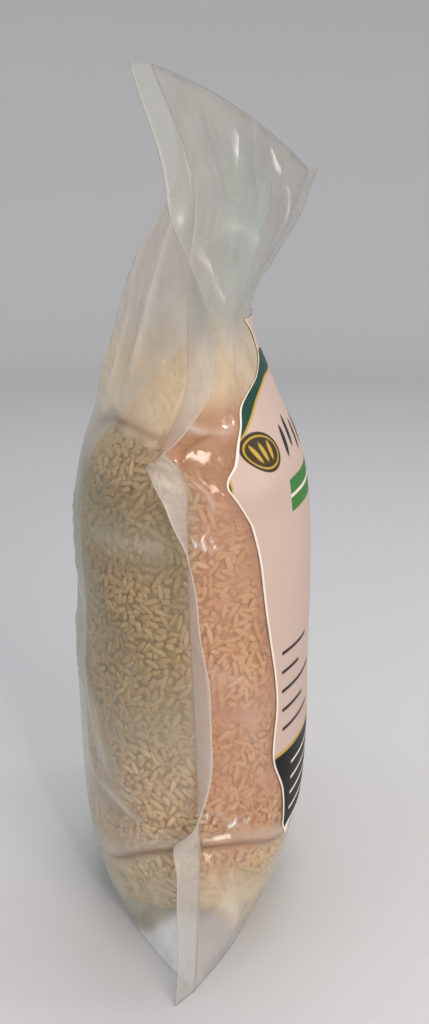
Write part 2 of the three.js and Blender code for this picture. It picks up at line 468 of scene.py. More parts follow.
# The dome starts at DOME_FROM. Over DENTS_FADE the film's dents leave the rice, and over
# LEAN_OVER it leans towards -X.
DOME_FROM, DENTS_FADE, DOME_LEAN, LEAN_OVER = 168.0, 14.0, 2.0, 40.0
# In the middle of the back the rice lies deeper, over a reach that is a share of half the width
BACK_GAP, BACK_GAP_REACH = 2.2, 0.5


def rice_point(turn, level):
    """Points of the rice's surface and its outward directions. Turn goes round a section, with
    the front at 0 and the back at 0.5. The section has a share of the sheets' depth, less the
    dents and a gap, and ends at half a width w by the factor (1 - |s|^n)^(1/2), s = y / w."""
    turn, level = np.broadcast_arrays(np.asarray(turn, float), np.asarray(level, float))

    def place(turn, level):
        s = np.sin(2 * math.pi * turn)
        is_front = np.cos(2 * math.pi * turn) >= 0
        near, chord, half, out = section_line(level)
        share, width, square = (through(RICE, level, column) for column in (1, 2, 3))
        along = s * np.maximum(width, 0) / half
        bulge = np.where(is_front, through(SHEETS, level, 2), through(SHEETS, level, 1))
        ends = np.sqrt(np.maximum(1 - np.abs(s) ** square, 0))
        across = np.arcsin(np.clip(along, -1, 1)) * 2 / math.pi
        dents = np.where(is_front, hollow_depth(1, across, level), hollow_depth(-1, across, level))
        dents = dents * falling(level, DOME_FROM, DENTS_FADE)
        gap = BACK_GAP * ~is_front * hump(along, 0, BACK_GAP_REACH) * rising(level, 30, 40)
        depth = bulge * np.maximum(1 - along**2, 0) ** (base_power(level) / 2) * share
        depth = np.maximum(depth - dents - (FILM_TO_RICE + gap), 0) * ends
        depth = np.where(is_front, depth, -depth)
        point = near + chord * ((along + 1) / 2)[..., None] + out * depth[..., None]
        point[..., 0] -= DOME_LEAN * rising(level, DOME_FROM, LEAN_OVER) + seam_pull(across, level)
        return point

    turn_step, level_step = 1e-3, 0.5
    point = place(turn, level)
    along_turn = place(turn + turn_step, level) - place(turn - turn_step, level)
    low, high = np.maximum(level - level_step, 0), np.minimum(level + level_step, RICE_TOP)
    along_level = place(turn, high) - place(turn, low)
    return point, unit(np.cross(along_turn, along_level))


sample, sample_normal = rice_point(np.array([0.0, 0.25, 0.5, 0.75]), 98.0)
print("rice at 98 mm:", np.round(sample[:, :2], 1).tolist())
print("its outward directions:", np.round(sample_normal[:, :2], 1).tolist())

# %% [markdown]
# ## The grains
#
# A bag of rice shows one layer of grains lying almost flat against the film, and in the gaps the
# grains behind them. Grains are laid one by one at random places and turns, and a grain that
# would lie across one already there is dropped. Each grain is stood for by five balls in that
# test. A tilted grain is set deeper, so that its end doesn't pass through the film, and about a
# quarter of the grains are broken. The second layer is laid the same way, deeper. Each grain is
# a spindle with a few dozen faces, and all the grains of a kind are one mesh, made by turning
# and scaling the same spindle for all of them at once.

# %% Lay the grains
GRAIN_LENGTH = 6.2
GRAIN_WIDTH = 2.15
GRAIN_THICK = 1.6
GRAIN_TILT = 0.26
TILT_SINK = 0.35
BROKEN_SHARE = 0.24
# How far the grains of a layer differ in depth, and how far the dome's grains are raised
SINK_SPREAD, DOME_RAISE = 0.5, 0.25
GRID_CELL = 7.0
random = np.random.default_rng(7)


def surface_samples(count, low, high):
    """Evenly spread random places on the rice: places are drawn evenly in turn and height and
    kept with a chance that grows with the surface there."""
    turn = random.random(count * 3)
    level = mix(low, high, random.random(count * 3))
    turn_step, level_step = 0.002, 0.4
    a, normal = rice_point(turn, level)
    b, _ = rice_point(turn + turn_step, level)
    c, _ = rice_point(turn, np.minimum(level + level_step, RICE_TOP))
    area = np.linalg.norm(np.cross(b - a, c - a), axis=-1)
    keep = random.random(len(area)) < area / np.percentile(area, 98)
    return turn[keep][:count], level[keep][:count], a[keep][:count], normal[keep][:count]


def lay_layer(count, depth, spacing, low, high):
    """One layer of grains: centre, length direction, outward direction, length, and the turn
    and level on the rice. The spacing is the least distance between the balls of two grains, as
    a share of their width."""
    turn, level, point, normal = surface_samples(count, low, high)
    count = len(turn)
    helper = unit(np.cross(normal, np.array([0.13, 0.21, 1.0])))
    other = np.cross(normal, helper)
    spin = random.random(count) * math.pi
    direction = helper * np.cos(spin)[:, None] + other * np.sin(spin)[:, None]
    tilt = np.clip(random.normal(0, GRAIN_TILT, count), -2 * GRAIN_TILT, 2 * GRAIN_TILT)
    direction = unit(direction + normal * tilt[:, None])
    length = GRAIN_LENGTH * np.clip(random.normal(1, 0.09, count), 0.75, 1.2)
    is_broken = random.random(count) < BROKEN_SHARE
    length = np.where(is_broken, length * mix(0.4, 0.7, random.random(count)), length)
    sink = depth + SINK_SPREAD * random.random(count) - DOME_RAISE * rising(level, DOME_FROM, 12)
    point = point - normal * (sink + TILT_SINK * length * np.abs(tilt))[:, None]
    reach = (length - GRAIN_WIDTH)[:, None] / 2 * direction
    balls = np.stack([point + share * reach for share in (-1, -0.5, 0, 0.5, 1)], 1)
    cells, kept = {}, []
    keys = np.floor(point / GRID_CELL).astype(int)
    offsets = np.array([(i, j, k) for i in (-1, 0, 1) for j in (-1, 0, 1) for k in (-1, 0, 1)])
    limit = (GRAIN_WIDTH * spacing) ** 2
    for index in range(count):
        around = map(tuple, (keys[index] + offsets).tolist())
        beside = [n for cell in around for n in cells.get(cell, ())]
        if beside:
            gaps = balls[beside][:, :, None, :] - balls[index][None, None, :, :]
            if np.einsum("abcd,abcd->abc", gaps, gaps).min() < limit:
                continue
        cells.setdefault(tuple(keys[index].tolist()), []).append(index)
        kept.append(index)
    kept = np.array(kept)
    along, normal = direction[kept], normal[kept]
    return {
        "centre": point[kept],
        "along": along,
        "out": unit(normal - along * np.sum(normal * along, -1, keepdims=True)),
        "length": length[kept],
        "turn": turn[kept],
        "level": level[kept],
    }


CANDIDATES = 64000
LOWEST_GRAIN, HIGHEST_GRAIN = 0.5, RICE_TOP - 1
# (candidates, depth under the film, spacing)
LAYERS = [(CANDIDATES, 0.75, 0.56), (CANDIDATES // 2, 1.7, 0.62)]
layers = [lay_layer(*layer, LOWEST_GRAIN, HIGHEST_GRAIN) for layer in LAYERS]
grains = {key: np.concatenate([layer[key] for layer in layers]) for key in layers[0]}
grains["layer"] = np.concatenate([np.full(len(layer["turn"]), i) for i, layer in enumerate(layers)])
print("grains in each layer", [len(layer["turn"]) for layer in layers])

# %% Grains hidden behind the label are left out
HIDDEN_FROM, HIDDEN_TO, HIDDEN_WIDE = 50.0, 190.0, 0.66
behind = (grains["level"] > HIDDEN_FROM) & (grains["level"] < HIDDEN_TO)
behind &= np.abs(np.sin(2 * math.pi * grains["turn"])) < HIDDEN_WIDE
behind &= np.cos(2 * math.pi * grains["turn"]) > 0
grains = {key: values[~behind] for key, values in grains.items()}
print("grains left", len(grains["turn"]))


# %% From grains to meshes
def spindle(sides, rings, blunt):
    """A unit grain along X: rings of points between two end points. Its radius is
    (1 - |t|^blunt)^0.5, where t runs from -1 to 1, and it bends a little to one side."""
    t = -np.cos(np.linspace(0, math.pi, rings + 2))[1:-1]
    radius = np.sqrt(1 - np.abs(t) ** blunt)
    angle = np.arange(sides) / sides * 2 * math.pi
    ring = np.stack(
        [
            t[:, None] + 0 * angle[None, :],
            radius[:, None] * np.cos(angle)[None, :] + GRAIN_BEND * (1 - t[:, None] ** 2),
            radius[:, None] * np.sin(angle)[None, :],
        ],
        -1,
    ).reshape(-1, 3)
    points = np.concatenate([[[-1, 0, 0]], ring, [[1, 0, 0]]])
    quads = grid_faces(rings, sides) + 1
    side = np.arange(sides)
    beside = (side + 1) % sides
    last = 1 + (rings - 1) * sides
    start = np.stack([0 * side, 1 + beside, 1 + side], -1)
    end = np.stack([0 * side + len(points) - 1, last + side, last + beside], -1)
    triangles = np.concatenate([quads[:, [0, 1, 2]], quads[:, [0, 2, 3]], start, end])
    return points, triangles


LOWEST = 0.25
SPINDLE_SIDES, SPINDLE_RINGS = 6, 4
SPREAD = 0.08
GRAIN_BEND = 0.12


def dome_share(level):
    """0 in the body and 1 in the dome, where the film stands off the rice."""
    return rising(level, 171, 12)


def grain_mesh(name, chosen, blunt):
    """One mesh of all the chosen grains: the spindle, scaled to each grain's length, width and
    thickness and turned to its directions."""
    points, triangles = spindle(SPINDLE_SIDES, SPINDLE_RINGS, blunt)
    count = len(chosen["turn"])
    wide = GRAIN_WIDTH / 2 * np.clip(random.normal(1, SPREAD, count), 0.8, 1.2)
    thick = GRAIN_THICK / 2 * np.clip(random.normal(1, SPREAD, count), 0.8, 1.2)
    side = np.cross(chosen["out"], chosen["along"])
    placed = (
        chosen["centre"][:, None, :]
        + points[None, :, 0, None] * (chosen["length"] / 2)[:, None, None] * chosen["along"][:, None, :]
        + points[None, :, 1, None] * wide[:, None, None] * side[:, None, :]
        + points[None, :, 2, None] * thick[:, None, None] * chosen["out"][:, None, :]
    )
    placed[..., 2] = np.maximum(placed[..., 2], LOWEST)
    faces = triangles[None, :, :] + (np.arange(count) * len(points))[:, None, None]
    tint = np.repeat(random.random(count), len(points))
    depth = np.repeat(chosen["layer"].astype(float), len(points))
    dome = np.repeat(dome_share(chosen["level"]), len(points))
    attributes = {"tint": tint, "layer": depth, "dome": dome}
    piece = make_mesh(name, placed.reshape(-1, 3), faces.reshape(-1, 3), attributes)
    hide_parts("bag")
    return piece


def some(mask):
    """The grains that a mask picks."""
    return {key: values[mask] for key, values in grains.items()}


BROKEN_BELOW = 4.6
PALE_BELOW, TAN_ABOVE = 0.2, 0.6
WHOLE_ENDS, BROKEN_ENDS = 2.6, 5.0
is_broken = grains["length"] < BROKEN_BELOW
kind_draw = random.random(len(is_broken))
is_pale = ~is_broken & (kind_draw < PALE_BELOW)
is_tan = ~is_broken & (kind_draw > TAN_ABOVE)
rice_pieces = [
    grain_mesh("rice_whole", some(~is_broken & ~is_pale & ~is_tan), WHOLE_ENDS),
    grain_mesh("rice_tan", some(is_tan), WHOLE_ENDS),
    grain_mesh("rice_pale", some(is_pale), WHOLE_ENDS),
    grain_mesh("rice_broken", some(is_broken), BROKEN_ENDS),
]
for piece in rice_pieces:
    print(piece.name, len(piece.data.polygons), "triangles")

# %% [markdown]
# ## The core
#
# Behind the grains lies a closed core, which stops the light. Its dark browns are painted shade
# in the gaps between the grains.
# Its relief is of the size of grains: slanted waves at the grains' spacing, one times another.

# %% Core mesh
CORE_ROWS, CORE_COLUMNS = 170, 220
CORE_INSET, CORE_INSET_DOME = 2.0, 1.25
CORE_GIRTH, CORE_RELIEF, CORE_LOWEST, CORE_TOP_GAP = 330.0, 0.45, 0.6, 1.2
core_share = np.linspace(0, 1, CORE_ROWS)
core_level = mix(CORE_INSET, RICE_TOP - CORE_TOP_GAP, core_share)
core_inset = mix(CORE_INSET, CORE_INSET_DOME, rising(core_level, DOME_FROM, 12))[:, None]
core_turn = np.arange(CORE_COLUMNS) / CORE_COLUMNS
core_points, core_normals = rice_point(core_turn[None, :], core_level[:, None])
arc, rise = core_turn[None, :] * CORE_GIRTH, core_level[:, None]
relief = np.sin(arc / 2.3 + rise / 3.1 + 2.0 * np.sin(rise / 7.0))
relief = relief * np.sin(rise / 1.7 - arc / 5.3 + 1.7 * np.sin(arc / 6.0))
core_points = core_points - core_normals * (core_inset - CORE_RELIEF * relief)[..., None]
core_points[..., 2] = np.maximum(core_points[..., 2], CORE_LOWEST)
bottom_centre, top_centre = core_points[0].mean(0), core_points[-1].mean(0)
core_all = np.concatenate([core_points.reshape(-1, 3), [bottom_centre, top_centre]])
core_faces = grid_faces(CORE_ROWS, CORE_COLUMNS).tolist()
here = np.arange(CORE_COLUMNS)
there = (here + 1) % CORE_COLUMNS
last_row = (CORE_ROWS - 1) * CORE_COLUMNS
core_faces += np.stack([here * 0 + len(core_all) - 2, there, here], -1).tolist()
core_faces += np.stack([here * 0 + len(core_all) - 1, last_row + here, last_row + there], -1).tolist()
core_dome = np.append(np.repeat(dome_share(core_level), CORE_COLUMNS), [0, 1])
rice_core = make_mesh("rice_core", core_all, core_faces, {"dome": core_dome})
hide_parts("bag")
print("core", len(rice_core.data.polygons), "faces")


# %% [markdown]
# ## The rice's finish
#
# Raw grains are ivory to light tan, a little see-through and waxy. No two are quite alike, so
# each grain carries a tint of its own. The deeper layer is painted darker and browner, as
# painted shade in the gaps between the front grains. In the dome all of it turns to cream.

# %% Rice materials
RICE_LIGHT = (0.70, 0.48, 0.25, 1)
RICE_DARK = (0.62, 0.40, 0.19, 1)
# The deeper layer's colour is painted shade in the gaps between the front grains
RICE_DEEP_SHADE = (0.50, 0.31, 0.14, 1)
RICE_CHALK = (0.76, 0.57, 0.34, 1)
RICE_CHALK_DARK = (0.68, 0.48, 0.26, 1)
RICE_TAN = (0.66, 0.43, 0.21, 1)
RICE_TAN_DARK = (0.56, 0.35, 0.155, 1)
RICE_CREAM = (0.74, 0.56, 0.33, 1)
# The core's dark browns are painted shade in the gaps between the grains
CORE_SHADE_DARK = (0.34, 0.20, 0.085, 1)
CORE_SHADE_LIGHT = (0.46, 0.29, 0.135, 1)


def creamier(tree, colour):
    """The colour in the body, and mostly cream in the dome."""
    share = calc(tree, "MULTIPLY", attribute(tree, "dome"), 0.8)
    return blend(tree, share, colour, RICE_CREAM)


def rice_material(name, light, dark, roughness):
    """Grains between two colours by their tint, painted darker in the deeper layer as painted
    shade in the gaps, with fine noise over them."""
    material, tree, shader = new_material(name)
    noise = noise_node(tree, 900.0, 3.0)
    tint = calc(tree, "MULTIPLY", attribute(tree, "tint"), 0.8)
    colour = blend(tree, calc(tree, "MULTIPLY_ADD", noise, 0.4, tint, clamp=True), dark, light)
    # The deeper layer is blended towards the painted shade colour
    depth = calc(tree, "MULTIPLY", attribute(tree, "layer"), 0.6)
    colour = creamier(tree, blend(tree, depth, colour, RICE_DEEP_SHADE))
    connect(tree, shader, {"Base Color": colour, "Roughness": roughness, "Specular IOR Level": 0.25})
    add_bump(tree, shader, noise, 0.15, 0.0003)
    return material


finishes = [
    rice_material("rice_whole", RICE_LIGHT, RICE_DARK, 0.42),
    rice_material("rice_tan", RICE_TAN, RICE_TAN_DARK, 0.45),
    rice_material("rice_pale", RICE_CHALK, RICE_CHALK_DARK, 0.55),
    rice_material("rice_broken", RICE_LIGHT, RICE_TAN_DARK, 0.5),
]
for piece, finish in zip(rice_pieces, finishes):
    piece.data.materials.append(finish)

core_finish, core_tree, core_shader = new_material("rice_core")
core_noise = ramp(core_tree, noise_node(core_tree, 300.0, 4.0), 0.3, 0.7)
# Painted shade between the two core browns, turning cream in the dome
core_colour = creamier(core_tree, blend(core_tree, core_noise, CORE_SHADE_DARK, CORE_SHADE_LIGHT))
connect(core_tree, core_shader, {"Base Color": core_colour, "Roughness": 0.7})
rice_core.data.materials.append(core_finish)
print("rice finishes", [finish.name for finish in finishes + [core_finish]])

# %% [markdown]
# ## The film
#
# The skin is one closed shell: the front sheet, then the back one, each ring closed on itself.
# It follows the same form as the solid. Creases are ridges and grooves along lines between two
# places on the film, given across and up the sheet, with a width and a rise. A fold that runs
# all round an end of the bag is a step instead: the film stands out above its line and dips
# below it. Finer folds and glints are marks in colour only: painted highlights and painted
# shade. How milky the film is and which colour it has are worked out for each point too: it is
# clearer where it lies on the rice, milkier where it is loose, and takes on the colour of what
# lies behind it, with painted warm light on the lit side and painted shade on the other.

# %% Creases
# For each sheet: across and height of both ends, width, how far it stands out
CREASES = {
    1: [
        (-0.20, 284, -0.36, 264, 1.5, 1.1), (0.34, 286, 0.55, 275, 1.5, 1.1),
        (-0.995, 245, -0.40, 224, 1.4, 0.9), (-0.95, 254, -0.3, 232, 4.0, -1.0),
        (-0.95, 236, -0.45, 212, 3.4, -1.0), (-0.62, 285, -0.42, 250, 6.0, -1.2),
        (0.02, 284, 0.14, 248, 6.0, -1.2), (-0.6, 250, 0.3, 243, 2.6, 0.9),
        (0.62, 276, 0.95, 260, 2.4, 0.9), (-0.97, 219, -0.55, 192, 2.0, -1.4),
        (-0.98, 190, -0.5, 186, 1.8, 1.1), (-0.98, 172, -0.62, 187, 2.0, -1.8),
        (-0.99, 153, -0.82, 149, 1.2, 0.9), (-0.97, 148, -0.84, 154, 1.1, -0.8),
        (-0.99, 176, -0.86, 160, 1.5, 1.1), (-0.97, 57, -0.7, 50, 1.4, 0.9),
        (-0.8, 30, -0.5, 5, 3.0, 0.8), (0.98, 200, 0.5, 182, 2.4, -1.6),
        (0.98, 184, 0.55, 172, 2.2, 1.4), (0.96, 120, 0.74, 96, 2.0, 1.0),
        (0.66, 62, 0.92, 54, 1.6, 1.3),
    ],
    -1: [
        (-0.28, 59, -0.78, 49, 1.3, 1.0), (-0.28, 55, -0.72, 46, 1.5, -1.5),
        (-0.10, 114, -0.34, 64, 1.7, 1.3), (-0.24, 108, -0.44, 62, 1.5, 1.1),
        (-0.36, 92, -0.54, 60, 1.5, 1.0), (-0.2, 128, 0.1, 66, 2.6, 1.0),
        (-0.12, 160, -0.30, 118, 1.8, 1.0), (-0.90, 262, -0.55, 190, 2.0, 1.3),
        (-0.75, 262, -0.45, 186, 1.8, -1.1), (-0.60, 264, -0.32, 182, 1.8, 1.2),
        (-0.42, 258, -0.22, 184, 1.6, -1.1), (-0.30, 262, -0.12, 176, 1.8, 1.2),
        (-0.12, 262, 0.04, 190, 2.4, -1.0), (0.10, 268, 0.3, 196, 2.8, 1.2),
        (0.35, 262, 0.5, 190, 2.6, -1.2), (0.98, 205, 0.3, 182, 2.6, -1.6),
        (0.98, 186, 0.3, 168, 2.4, 1.4), (0.4, 112, 0.62, 60, 1.8, 1.1),
        (0.3, 59, 0.76, 50, 1.6, 1.5),
    ],
}
print("creases", {sheet: len(lines) for sheet, lines in CREASES.items()})

# %% Marks in colour only
# For each sheet: across and height of both ends, width, strength. Light marks are painted
# highlights: glints, bright arcs on the folds and a few broad lighter bands. Dark ones are
# painted shade where the film leaves the rice, in the pleat's pocket and along folds.
PAINTED_HIGHLIGHT_MARKS = {
    1: [
        (-0.20, 283, -0.33, 269, 0.8, 1.0), (0.33, 285, 0.53, 276, 0.8, 0.9),
        (-0.99, 244, -0.45, 226, 0.9, 0.3), (-0.62, 234, -0.45, 226, 0.8, 0.4),
        (0.62, 276, 0.9, 262, 0.9, 0.35), (-0.98, 152.5, -0.955, 152.9, 0.9, 1.0),
        (-0.94, 151.8, -0.90, 151.4, 1.0, 1.0), (-0.885, 151.0, -0.86, 151.6, 0.7, 0.8),
        (-0.93, 154.6, -0.91, 154.0, 0.6, 0.8), (-0.97, 56.2, -0.945, 55.2, 0.9, 1.0),
        (-0.93, 53.8, -0.91, 53.4, 0.8, 0.8), (-0.85, 53.4, -0.78, 52.6, 0.8, 1.0),
        (-0.76, 52.6, -0.69, 52.9, 0.7, 0.7), (-0.89, 41.0, -0.875, 40.6, 0.9, 1.0),
        (-0.75, 100, -0.62, 60, 6.0, 0.14), (-0.97, 107, -0.6, 101, 4.5, 0.16),
    ],
    -1: [
        (-0.05, 104, -0.42, 46, 9.0, 0.2), (-0.99, 154, -0.30, 146, 5.0, 0.22),
    ],
}
PAINTED_SHADE_MARKS = {
    1: [
        (-0.97, 189, -0.40, 192, 2.6, 0.4), (-0.68, 181, -0.84, 166, 2.4, 0.5),
        (-1.04, 96, -0.54, 90, 1.4, 0.4), (-0.99, 49, -0.50, 56, 1.2, 0.4),
    ],
    -1: [
        (-0.24, 184, -0.66, 187, 2.2, 0.6), (-0.45, 186, -1.1, 188, 2.2, 0.75),
        (-0.99, 146, -0.36, 139, 2.0, 0.4), (-0.30, 57, -0.76, 48, 1.1, 0.6),
        (-0.50, 53, -0.99, 50, 1.2, 0.55), (-0.22, 104, -0.48, 64, 2.0, 0.3),
        (-0.10, 122, -0.36, 82, 1.6, 0.25),
    ],
}
print("light marks", {sheet: len(lines) for sheet, lines in PAINTED_HIGHLIGHT_MARKS.items()})
print("dark marks", {sheet: len(lines) for sheet, lines in PAINTED_SHADE_MARKS.items()})

# %% The fold's line and the label's near edge
# The height of the fold round the ends of each sheet: [across, height]
FOLD_LINE = {
    1: [[0, 28], [0.3, 33], [0.48, 37.4], [0.77, 44.6], [1, 45]],
    -1: [[0, 20], [0.3, 25], [0.47, 31], [0.66, 38.8], [0.81, 42.8], [1, 45]],
}
FOLD_STEP, FOLD_WIDTH = 1.5, 1.7
# Bands along the fold, as a height over its line and a reach: the pale one, the crest with its
# painted highlight, the groove with its painted shade, and the clearer film above and below
PALE_BAND, CREST, GROOVE = (3.2, 2.2), (2.4, 1.4), (-0.7, 1.3)
CLEAR_ABOVE, CLEAR_BELOW = (11, 6), (-6, 4)
HALF_SHEET = 81.0

# [height, across]: the near edge of the label, beside which the film gets a painted shade
LABEL_NEAR_EDGE = [
    [38, -0.45], [55, -0.48], [70, -0.56], [92, -0.53], [124, -0.605], [154, -0.67], [168, -0.8],
    [175, -0.65], [187, -0.53], [193, -0.44], [202, -0.1], [209, -0.04], [217, -0.12],
]
print("fold from", FOLD_LINE[1][0][1], "mm in the middle to", FOLD_LINE[1][-1][1], "mm at the seams")


# %% Height of the creases
def along_lines(lines, sheet, across, level):
    """The sum of a sheet's lines: each is a bell across its line, which bends a little and
    fades out at its ends. Distances are on the film, where half a sheet is HALF_SHEET wide."""
    total = np.zeros(np.broadcast(across, level).shape)
    for from_across, from_height, to_across, to_height, width, rise in lines[sheet]:
        dx, dy = to_across * HALF_SHEET - from_across * HALF_SHEET, to_height - from_height
        length = math.hypot(dx, dy)
        px, py = across * HALF_SHEET - from_across * HALF_SHEET, level - from_height
        share = (px * dx + py * dy) / length**2
        off = (px * dy - py * dx) / length + 1.5 * np.sin(share * 5.0 + from_height)
        ends = ease(share / 0.25) * ease((1 - share) / 0.35)
        total = total + rise * ends * np.exp(-np.abs(off / width) ** 1.4)
    return total


def above_fold(sheet, across, level):
    """The height over the fold that runs round the ends of the bag."""
    return level - through(FOLD_LINE[sheet], np.abs(across), 1)


def round_ends(across):
    """1 towards the seams, where the fold runs, and 0 in the middle of a sheet."""
    return rising(np.abs(across), 0.25, 0.2)


def crease_height(sheet, across, level):
    """The sum of the creases, and the step at the fold."""
    over = above_fold(sheet, across, level)
    step = hump(over, FOLD_WIDTH, FOLD_WIDTH) - 0.8 * hump(over, -FOLD_WIDTH, FOLD_WIDTH)
    return along_lines(CREASES, sheet, across, level) + FOLD_STEP * step * round_ends(across)


def film_ripple(sheet, across, level):
    """Soft random-looking waves over the whole film, stronger in the empty top."""
    s = across * HALF_SHEET
    wave = np.sin(s / 9.0 + level / 23.0 + 2.0 * sheet) * np.sin(level / 12.0 - s / 17.0)
    wave = wave + 0.5 * np.sin(s / 4.1 - level / 9.0 + sheet) * np.sin(level / 6.3 + s / 8.0)
    strength = 0.12 + 0.5 * rising(level, 175, 40) * falling(level, 250, 40)
    return wave * strength


test_creases = crease_height(-1, np.linspace(-1, 0, 5), 50.0)
print("creases of the back sheet at 50 mm:", np.round(test_creases, 2).tolist())

# %% The film's colours
FILM_FLAP = (0.385, 0.375, 0.345, 1)
FILM_GREEN = (0.36, 0.45, 0.40, 1)
FILM_NECK = (0.66, 0.59, 0.51, 1)
FILM_CREAM = (0.74, 0.575, 0.36, 1)
# The ears' film is painted much lighter on the back sheet than on the front, to even out the shade on
# the back and the key light on the front
FILM_EAR_FRONT_DIMMED = (0.445, 0.425, 0.41, 1)
FILM_EAR_BACK_LIT = (0.90, 0.92, 0.91, 1)
# Painted warm light on the lit front side of the rice
FILM_PEACH_LIT = (0.50, 0.255, 0.16, 1)
# Painted shade in the pleat by the near shoulder
FILM_PLEAT_SHADE = (0.46, 0.235, 0.13, 1)
# Painted shade on the back side of the rice
FILM_OLIVE_SHADE = (0.24, 0.21, 0.118, 1)
FILM_PALE = (0.60, 0.55, 0.40, 1)
FILM_RIM = (0.47, 0.49, 0.40, 1)
FILM_BAND = (0.52, 0.41, 0.30, 1)


def pleat_share(sheet, across, level):
    """1 in the pleat by the near shoulder of the front sheet, and 0 away from it."""
    return (sheet > 0) * hump(level, 185, 8) * ease((-across - 0.25) / 0.3)


def film_tint(sheet, across, level, touch):
    """The film's colour: it takes on the colour of what lies behind it, so it is greenish in
    the flap and cream over the dome. Peach is painted warm light on the lit side of the rice and
    olive is painted shade on the other. The pleat gets painted shade, and the back sheet's film
    in the ears is painted lighter than the front's to even out the light on them."""
    front = 0.5 + 0.5 * sheet * ease((1 - np.abs(across)) / 0.06)
    low = falling(level, 20, 22)
    # How much painted shade the back sheet gets, by height
    olive = mix(0.4, 1.0, rising(level, 40, 80)) * mix(1.0, 0.5, rising(level, 165, 15))
    tints = [
        (FILM_GREEN, front * hump(across, -0.1, 0.5) * hump(level, 246, 30)),
        (FILM_NECK, (1 - front) * falling(level, 255, 25)),
        (FILM_CREAM, 0.8 * rising(level, 168, 10) * falling(level, 205, 18)),
        (FILM_PEACH_LIT, front * falling(level, 186, 14)),
        # painted shade in the pleat
        (FILM_PLEAT_SHADE, pleat_share(sheet, across, level)),
        # ears painted lighter on the back sheet and darker on the front, to even out the light
        (FILM_EAR_FRONT_DIMMED, front * low * (1 - touch)),
        (FILM_EAR_BACK_LIT, (1 - front) * low * (1 - touch)),
        (FILM_OLIVE_SHADE, (1 - front) * touch * olive),
        (FILM_PALE, 0.85 * touch * falling(level, 24, 26)),
        (FILM_RIM, (1 - front) * touch * 0.5 * hump(across, -0.05, 0.3)),
        (FILM_BAND, 0.6 * touch * hump(above_fold(sheet, across, level), *PALE_BAND)),
    ]
    colour = np.array(FILM_FLAP)
    for tint, share in tints:
        colour = mix(colour, np.array(tint), np.broadcast_to(share, touch.shape)[..., None])
    return colour


for height in (60, 140):
    at_height = film_tint(-1, np.array([-0.5]), np.array([float(height)]), np.array([1.0]))
    print("back sheet's colour at", height, "mm:", np.round(at_height[0, :3], 2).tolist())

# %% How milky the film is
# Heights and alpha of the loose film
LOOSE_MILK = (
    (0, 12, 26, 45, 170, 182, 206, 222, 245, 291),
    (0.73, 0.68, 0.54, 0.50, 0.52, 0.66, 0.66, 0.58, 0.62, 0.66),
)
HELD_MILK = {1: 0.49, -1: 0.48}
PLEAT_MILK = 0.66
TOUCH_TOP = {1: 181, -1: 186}


def film_touch(sheet, across, level):
    """1 where the film lies on the rice, and 0 over the dome and in the ears. The edge under
    the dome waves a little, and the one above the floor rises towards the ears."""
    top_edge = TOUCH_TOP[sheet] + 3 * np.sin(across * 9.0 + sheet) + 2 * np.sin(across * 23.0)
    floor_edge = mix(1.0, 25.0, rising(np.abs(across), 0.3, 0.6))
    return (1 - ease((level - top_edge) / 4 + 0.5)) * ease((level - floor_edge) / 6 + 0.5)


def film_milk(sheet, across, level, touch):
    """The alpha of the film: the loose film's by its height, less where it lies on the rice,
    and less still right above and below the pale band over the fold."""
    over = above_fold(sheet, across, level)
    held = HELD_MILK[sheet] + 0.04 * falling(level, 25, 25)
    held = held + (sheet < 0) * (0.06 * hump(across, -0.05, 0.3) - 0.12 * hump(level, 179, 8))
    clear = 0.14 * hump(over, *CLEAR_ABOVE) + 0.12 * hump(over, *CLEAR_BELOW)
    held = held + round_ends(across) * (0.10 * hump(over, *PALE_BAND) - clear)
    milk = mix(np.interp(level, *LOOSE_MILK), held, touch)
    return mix(milk, PLEAT_MILK, pleat_share(sheet, across, level))


def film_marks(sheet, across, level, grip, touch):
    """The painted highlight on crests and the painted shade in grooves at each point: of the
    creases, the fold, the marks, and the painted shade beside the label."""
    over = above_fold(sheet, across, level)
    ridge = along_lines(CREASES, sheet, across, level) * grip / 1.6
    crest = 0.08 * hump(over, *CREST) * round_ends(across)
    light = 0.45 * np.clip(ridge, 0, 1) + crest + along_lines(PAINTED_HIGHLIGHT_MARKS, sheet, across, level)
    groove = hump(over, *GROOVE) * round_ends(across)
    dark = groove + 0.5 * np.clip(-ridge, 0, 1) * touch + along_lines(PAINTED_SHADE_MARKS, sheet, across, level)
    # Painted shade on the film along the label's near edge
    beside_label = hump(across, through(LABEL_NEAR_EDGE, level, 1) - 0.02, 0.018) * (sheet > 0)
    dark = dark + 0.45 * beside_label * rising(level, 58, 12) * falling(level, 158, 12)
    return np.clip(light, 0, 1), np.clip(dark, 0, 1)


print("alpha of the held film:", HELD_MILK, "and of the pleat:", PLEAT_MILK)

# %% The skin
SKIN_ROWS = 345
SKIN_COLUMNS = 144


def skin_sheet(sheet, across, level):
    """Points of the skin with its creases and ripples. With each go its alpha, its painted
    highlight on crests and painted shade in grooves, and its colour."""
    grip = ease((1 - np.abs(across)) / 0.05) * ease(level / 6) * ease((HEIGHT - level) / 8)
    rise = (crease_height(sheet, across, level) + film_ripple(sheet, across, level)) * grip
    body = ease(level / 20) * falling(level, 165, 15) * ease((1 - np.abs(across)) / 0.2)
    rise = np.where(rise < 0, rise * (1 - 0.7 * body), rise)
    touch = film_touch(sheet, across, level)
    light, dark = film_marks(sheet, across, level, grip, touch)
    milk = film_milk(sheet, across, level, touch)
    marks = np.stack(np.broadcast_arrays(milk, light, dark), -1)
    colour = film_tint(sheet, across, level, touch)
    point, normal = sheet_point(sheet, across, level)
    return point + normal * rise[..., None], np.concatenate([marks, colour], -1)


